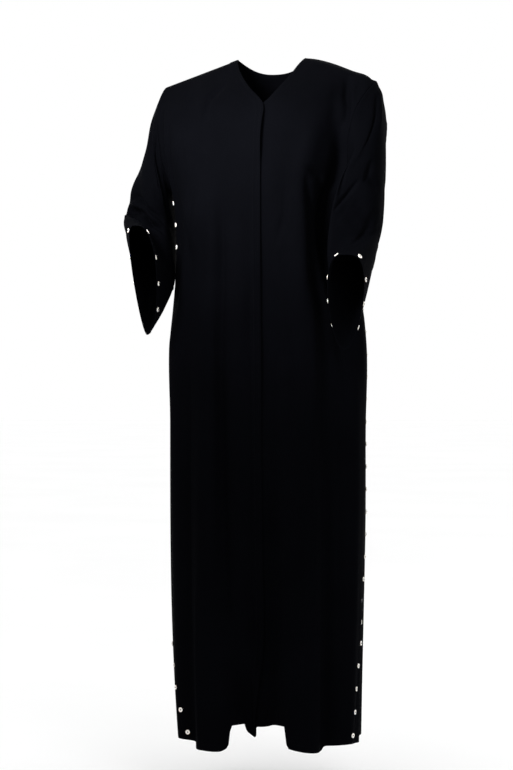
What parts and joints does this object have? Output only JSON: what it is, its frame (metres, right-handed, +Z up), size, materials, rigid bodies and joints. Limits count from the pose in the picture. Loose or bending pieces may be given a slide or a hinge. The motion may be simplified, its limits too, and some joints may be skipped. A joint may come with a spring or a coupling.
{
  "type": "abaya",
  "caption": "Ankle-length black abaya, open V neck, lapped front, wide set-in sleeves, pearl buttons up both side seams and round the cuffs; hollow, as worn",
  "frame": {"origin": "midway between the two neck points, at the top of the shoulders", "axes": "+Z up, front of the garment towards -Y, the wearer's right towards -X"},
  "size_m": [0.5382, 0.3181, 1.3957],
  "materials": {
    "black_crepe": "matt, slightly sheer crepe",
    "pearl_shell": "pearly gloss"
  },
  "bodies": {
    "root": {"front_right": "black_crepe", "front_left": "black_crepe", "back": "black_crepe", "sleeve_right": "black_crepe", "sleeve_left": "black_crepe", "side_button_right_01": "pearl_shell", "side_button_right_02": "pearl_shell", "side_button_right_03": "pearl_shell", "side_button_right_04": "pearl_shell", "side_button_right_05": "pearl_shell", "side_button_right_06": "pearl_shell", "side_button_right_07": "pearl_shell", "side_button_right_08": "pearl_shell", "side_button_right_09": "pearl_shell", "side_button_right_10": "pearl_shell", "side_button_right_11": "pearl_shell", "side_button_right_12": "pearl_shell", "side_button_right_13": "pearl_shell", "side_button_right_14": "pearl_shell", "side_button_right_15": "pearl_shell", "side_button_right_16": "pearl_shell", "side_button_right_17": "pearl_shell", "side_button_left_01": "pearl_shell", "side_button_left_02": "pearl_shell", "side_button_left_03": "pearl_shell", "side_button_left_04": "pearl_shell", "side_button_left_05": "pearl_shell", "side_button_left_06": "pearl_shell", "side_button_left_07": "pearl_shell", "side_button_left_08": "pearl_shell", "side_button_left_09": "pearl_shell", "side_button_left_10": "pearl_shell", "side_button_left_11": "pearl_shell", "side_button_left_12": "pearl_shell", "side_button_left_13": "pearl_shell", "side_button_left_14": "pearl_shell", "side_button_left_15": "pearl_shell", "side_button_left_16": "pearl_shell", "side_button_left_17": "pearl_shell", "cuff_button_right_01": "pearl_shell", "cuff_button_right_02": "pearl_shell", "cuff_button_right_03": "pearl_shell", "cuff_button_right_04": "pearl_shell", "cuff_button_right_05": "pearl_shell", "cuff_button_right_06": "pearl_shell", "cuff_button_right_07": "pearl_shell", "cuff_button_right_08": "pearl_shell", "cuff_button_right_09": "pearl_shell", "cuff_button_left_01": "pearl_shell", "cuff_button_left_02": "pearl_shell", "cuff_button_left_03": "pearl_shell", "cuff_button_left_04": "pearl_shell", "cuff_button_left_05": "pearl_shell", "cuff_button_left_06": "pearl_shell", "cuff_button_left_07": "pearl_shell", "cuff_button_left_08": "pearl_shell", "cuff_button_left_09": "pearl_shell"}
  },
  "joints": []
}
